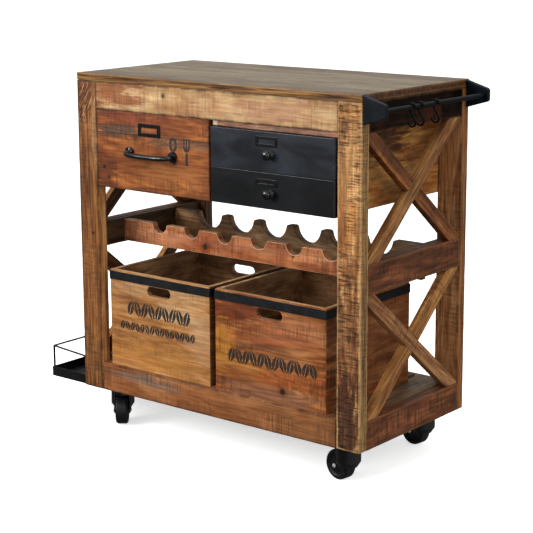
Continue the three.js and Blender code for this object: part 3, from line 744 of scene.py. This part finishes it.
def bar(x, z0, z1, low_width, top_width):
    """An upright bar, whose width changes evenly from its low end to its top."""
    low, top = low_width / 2, top_width / 2
    return [(x - low, z0), (x + low, z0), (x + top, z1), (x - top, z1)]


SPOON = ring(331, 676, (13, 18), (6, 11)) + [bar(334, 627, 657, 11, 6)]
FORK = [bar(x, 672, 695, 4.4, 3.6) for x in (367.5, 376, 384.5)]
FORK += [bar(376, 661, 671, 12, 21), bar(376, 627, 659.5, 10, 7)]
decal("cutlery_stencil", SPOON + FORK, DRAWER_PAINT_Y, "wood_drawer")

# ---------------------------------------------------------------------------------------------------------
# Wine rack

# Its pale rims along the notches are worn edges, brightened as a painted highlight.
RACK_FRONT = wood(
    "rack_front_wood", ("8f4d2a", "ad643c", "c47f50"), saw=0.4, saw_size=(6, 60), lines=0.2, figure=0.2,
    blotch=(130, 50), faces=[(Z, 1, ("a87448", "c9966c", "dcae84"), 0.8)], seed=37, edge=("e8b48c", 0.9),
    patches=[((330, 117, 405), (26, 60, 32), "a34f22", 0.8), ((520, 117, 410), (50, 60, 20), "bd8050", 0.4),
             ((150, 117, 410), (120, 60, 40), "d08e63", 0.55),
             ((770, 117, 405), (110, 60, 36), "84472a", 0.7)],
    knots=[((330, 117, 402), 9), ((615, 117, 412), 4)])
RACK_REAR = wood("rack_rear_wood", ("6b4c30", "8d6842", "a98058"), saw=0.15, lines=0.35, figure=0.3,
                 blotch=(220, 45), faces=[(Z, 1, ("30231a", "3f2e20", "54402c"), 0.8)], seed=39,
                 edge=("2b2016", 0.8))
RACK_SIDE = wood("rack_side_wood", ("3a2a1c", "54402c", "6b5238"), grain="Y", saw=0.2, seed=41)


BOTTLES, BOTTLE_PITCH = 6, 111.4


def rack_board(node, radius, lip, material):
    """A board whose top edge has one round notch with small rounded lips for each bottle."""
    low, high = [(corner - CORNER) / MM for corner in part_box(node)]
    reach = math.sqrt((radius + lip) ** 2 - lip ** 2)
    meet = math.degrees(math.atan2(lip, reach))
    middle = (low.x + high.x) / 2
    points = [(low.x, low.z), (low.x, high.z)]
    for i in range(BOTTLES):
        x = middle + (i - (BOTTLES - 1) / 2) * BOTTLE_PITCH
        points += arc((x - reach, high.z - lip), lip, 90, meet, 6)[:-1]
        points += arc((x, high.z), radius, 180 + meet, 360 - meet, 26)
        points += arc((x + reach, high.z - lip), lip, 180 - meet, 90, 6)[1:]
    points += [(high.x, high.z), (high.x, low.z)]
    made = outline_board(node + "_finish", points, low.y, high.y, material, "cart")
    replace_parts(made, node)


rack_board("rack_front", 24.5, 4.5, RACK_FRONT)
rack_board("rack_rear", 42.0, 8.0, RACK_REAR)
for side in ("left", "right"):
    worn_board(f"rack_side_{side}", RACK_SIDE, wear=1.6, seed=15)

# ---------------------------------------------------------------------------------------------------------
# Shelf and crates

SHELF = wood("shelf_wood", ("4a3826", "685138", "84694b"), grain="Y", saw=0.2, lines=0.3, figure=0.2, seed=43)
refined("shelf", SHELF, width=1.5)

CRATE_TOP = (Z, 1, ("9c7248", "c29a6c", "dcb686"), 0.85)
CRATES = {
    "left": wood(
        "crate_left_wood", ("905c2c", "ad7642", "c5925f"), grain="walls", saw=0.15, saw_size=(6, 50),
        lines=0.25, figure=0.18, figure_size=(330, 60), blotch=(240, 55), seed=45,
        # Its right side has darker tones: painted shade of the narrow gap between the two crates.
        faces=[CRATE_TOP, (X, 1, ("4d301b", "69452a", "80583a"), 1.0)],
        patches=[((250, 8, 292), (180, 60, 24), "b98e63", 0.75), ((140, 8, 262), (60, 60, 8), "7d5238", 0.7),
                 ((330, 8, 240), (80, 60, 24), "cda67a", 0.8), ((230, 8, 110), (170, 60, 40), "bd8040", 0.7),
                 ((150, 8, 165), (60, 60, 14), "8d5a30", 0.6), ((250, 8, 172), (120, 60, 6), "8a5a35", 0.5),
                 ((410, 8, 190), (45, 60, 60), "c29c76", 0.35)]),
    "right": wood(
        "crate_right_wood", ("7a401c", "97582b", "b07446"), grain="walls", saw=0.35, saw_size=(5, 50),
        lines=0.25, figure=0.3, figure_size=(380, 50), blotch=(230, 50), seed=47,
        faces=[CRATE_TOP], knots=[((667, 8, 105), 9)],
        patches=[((535, 8, 282), (110, 60, 40), "6b2e16", 0.85),
                 ((480, 8, 190), (40, 60, 60), "b9792f", 0.85),
                 ((560, 8, 150), (90, 60, 18), "bb7c36", 0.7), ((700, 8, 260), (110, 60, 40), "ad6c48", 0.6),
                 ((640, 8, 92), (150, 60, 24), "8a6048", 0.7), ((600, 8, 205), (110, 60, 9), "6f4a34", 0.6),
                 ((650, 8, 135), (120, 60, 24), "ad5c2c", 0.6), ((640, 8, 235), (130, 60, 26), "a65c38", 0.5),
                 # The last patch is a painted shadow: the front of the crate's right side, where the post
                 # shades it.
                 ((805, 30, 200), (14, 40, 190), "2a1a10", 0.4)]),
}
STENCILS = {
    "left": leaf_row(155, 373, 215, 256, 9) + leaf_row(129, 388, 174, 200, 15),
    "right": leaf_row(496, 771, 151, 190, 12),
}
# The inner walls have darker tones than the outside: painted shade of the crates' insides.
CRATE_INSIDE = wood("crate_inner_wood", ("644429", "845c3a", "9c734c"), grain="walls", saw=0.2, lines=0.3,
                    blotch=(160, 70), planks=(Z, 75, 130), seed=49)
SCREW_PROFILE = [(0, 1.2), (1.6, 1.0), (2.6, 0.2), (2.6, -0.5), (0, -0.5)]
SCREW_PLACES, SCREW_SINK = (0.1, 0.5, 0.88), 0.2  # shares of the band's length, and depth in it
BAND_MIDDLE_Z = 316
for side, material in CRATES.items():
    crate = f"crate_{side}"
    refined(crate, material, width=1.0, inside=CRATE_INSIDE)
    refined(crate + "_band", BAND_BLACK, width=0.4)
    decal(crate + "_stencil", STENCILS[side], CRATE_PAINT_Y, crate)
    low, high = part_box(crate + "_band")
    for i, along in enumerate(SCREW_PLACES):
        x = low.x + (high.x - low.x) * along
        place = Vector((x, low.y + SCREW_SINK * MM, at(0, 0, BAND_MIDDLE_Z).z))
        turned(f"{crate}_band_screw_{i + 1}", SCREW_PROFILE, place, (0, -1, 0), BRACKET_BLACK, crate,
               sides=20)

# ---------------------------------------------------------------------------------------------------------
# Ironwork and castors

refined("wood_drawer_handle", IRON, width=0, smooth=60)
for end in ("front", "rear"):
    refined(f"bar_bracket_{end}", BRACKET_BLACK, width=1.5)
refined("towel_bar", BAR_BLACK, width=0, smooth=50)
for i in (1, 2, 3):
    refined(f"s_hook_{i}", BAR_BLACK, width=0, smooth=80)
refined("tray_pan", SHEET_BLACK, width=0.5)
refined("tray_rail", IRON, width=0.8)

CASTOR_BLACK = lacquer("castor_black", "050606", "0b0c0c", gloss=0.3, pits=0.05, shine=0.4)
TREAD = lacquer("wheel_rubber", "080808", "111111", gloss=0.45, pits=0.1)
AXLE_HALF = 23.5  # from the middle of the wheel to the axle's end
BOLT_PROFILE = [(0, 1.6), (2.6, 1.5), (4.6, 0.9), (5.2, -0.6), (0, -0.6)]
for place in [f"{end}_{side}" for end in ("front", "rear") for side in ("left", "right")]:
    fork, wheel = f"castor_fork_{place}", f"castor_wheel_{place}"
    refined(fork, CASTOR_BLACK, width=0.7, smooth=40)
    refined(wheel, TREAD, width=1.0, smooth=40)
    roll = JOINTS[f"castor_{place}_roll"]
    axle, hub = Vector(roll["axis"]), Vector(roll["pos_m"])
    for sign in (-1, 1):
        end = hub + axle * sign * AXLE_HALF * MM
        turned(f"castor_bolt_{place}_{'left' if sign < 0 else 'right'}", BOLT_PROFILE, end, axle * sign, BOLT,
               fork, sides=20)

# ---------------------------------------------------------------------------------------------------------
# Floor, light and camera


def area_light(name, place, target, size, power):
    """A white rectangular light of that size and power at a place, turned to its target."""
    light = bpy.data.lights.new(name, "AREA")
    light.shape, light.size, light.size_y = "RECTANGLE", size[0], size[1]
    light.energy = power
    lamp = bpy.data.objects.new(name, light)
    bpy.context.scene.collection.objects.link(lamp)
    lamp.location = place
    lamp.rotation_euler = (Vector(target) - Vector(place)).to_track_quat("-Z", "Y").to_euler()


FLOOR_RADIUS = 60.0


def pale_floor():
    """A wide pale studio floor with a faint mottle."""
    bm = bmesh.new()
    bmesh.ops.create_circle(bm, cap_ends=True, segments=64, radius=FLOOR_RADIUS)
    mesh = bpy.data.meshes.new("floor")
    bm.to_mesh(mesh)
    bm.free()
    floor = bpy.data.objects.new("floor", mesh)
    bpy.context.scene.collection.objects.link(floor)
    n = Nodes("floor_paper")
    mottle = n.noise(n.coordinates["Object"], (0.8, 0.8, 0.8), detail=3)
    n.put(n.shader.inputs["Base Color"], n.mix(mottle, rgb("f4f4f3"), rgb("fafafa")))
    n.shader.inputs["Roughness"].default_value = 0.9
    n.shader.inputs["Specular IOR Level"].default_value = 0.0
    n.shader.inputs["Emission Color"].default_value = (1, 1, 1, 1)
    n.shader.inputs["Emission Strength"].default_value = 0.6
    mesh.materials.append(n.material)
    # The floor glows faintly, but the cart neither reflects it nor is lit by it.
    floor.visible_diffuse = False
    floor.visible_glossy = False


pale_floor()


def studio_world():
    """White to the camera; what lights the cart is bright above and to the right, dim in front and below."""
    world = bpy.data.worlds.new("studio")
    bpy.context.scene.world = world
    world.use_nodes = True
    tree = world.node_tree

    def node(kind, inputs, **settings):
        made = tree.nodes.new("ShaderNode" + kind)
        for key, value in settings.items():
            setattr(made, key, value)
        for key, value in inputs.items():
            if isinstance(value, bpy.types.NodeSocket):
                tree.links.new(value, made.inputs[key])
            else:
                made.inputs[key].default_value = value
        return made.outputs

    def brighter(axis, low, high, to_low, to_high):
        """Strength that grows with how far a ray points along an axis."""
        limits = {"Value": way[axis], "From Min": low, "From Max": high, "To Min": to_low, "To Max": to_high}
        return node("MapRange", limits, interpolation_type="SMOOTHSTEP")[0]

    way = node("SeparateXYZ", {0: tree.nodes.new("ShaderNodeTexCoord").outputs["Generated"]})
    above = brighter(Z, -0.1, 0.7, 0.12, 0.75)
    right = brighter(X, 0.1, 0.9, 0.0, 0.35)
    both = node("Math", {0: above, 1: right}, operation="ADD")
    seen = tree.nodes.new("ShaderNodeLightPath").outputs["Is Camera Ray"]
    strength = node("Mix", {0: seen, 2: both[0], 3: 1.0}, data_type="FLOAT")
    tree.links.new(strength[0], tree.nodes["Background"].inputs["Strength"])
    tree.nodes["Background"].inputs["Color"].default_value = (1.0, 1.0, 1.0, 1.0)


studio_world()
area_light("key", place=(-1.7, -3.2, 2.3), target=(0.0, 0.0, 0.5), size=(2.2, 2.2), power=116.0)
for side, place in (("left", (-1.9, -2.6, 1.5)), ("right", (0.3, -3.6, 1.9))):
    area_light(f"spark_{side}", place, target=(0.1, -0.2, 0.6), size=(0.3, 0.3), power=12.0)
area_light("top", place=(0.2, 0.4, 3.4), target=(0.0, 0.0, 0.6), size=(2.6, 1.8), power=35.0)
area_light("right", place=(3.4, -1.0, 1.9), target=(0.2, 0.0, 0.5), size=(1.6, 1.8), power=25.0)
area_light("strip", place=(1.3, -3.3, 0.62), target=(0.2, -0.2, 0.62), size=(0.12, 1.1), power=5.0)

camera_data = bpy.data.cameras.new("camera")
camera_data.sensor_width = 36.0
camera_data.lens = 103.48
camera_data.shift_y = -0.0685
camera_data.clip_end = 200.0
camera = bpy.data.objects.new("camera", camera_data)
bpy.context.scene.collection.objects.link(camera)
camera.location = (2.446, -2.9746, 1.3057)
# Turned about the vertical, tipped down from the horizontal, and leaned sideways, in degrees.
heading, down, lean = 38.916, 11.249, -0.265
aim = [math.radians(angle) for angle in (heading, 90 - down, lean)]
turns = [Matrix.Rotation(angle, 3, axis) for angle, axis in zip(aim, "ZXZ")]
camera.rotation_euler = (turns[0] @ turns[1] @ turns[2]).to_euler()
bpy.context.scene.camera = camera
bpy.context.scene.view_settings.view_transform = "Standard"
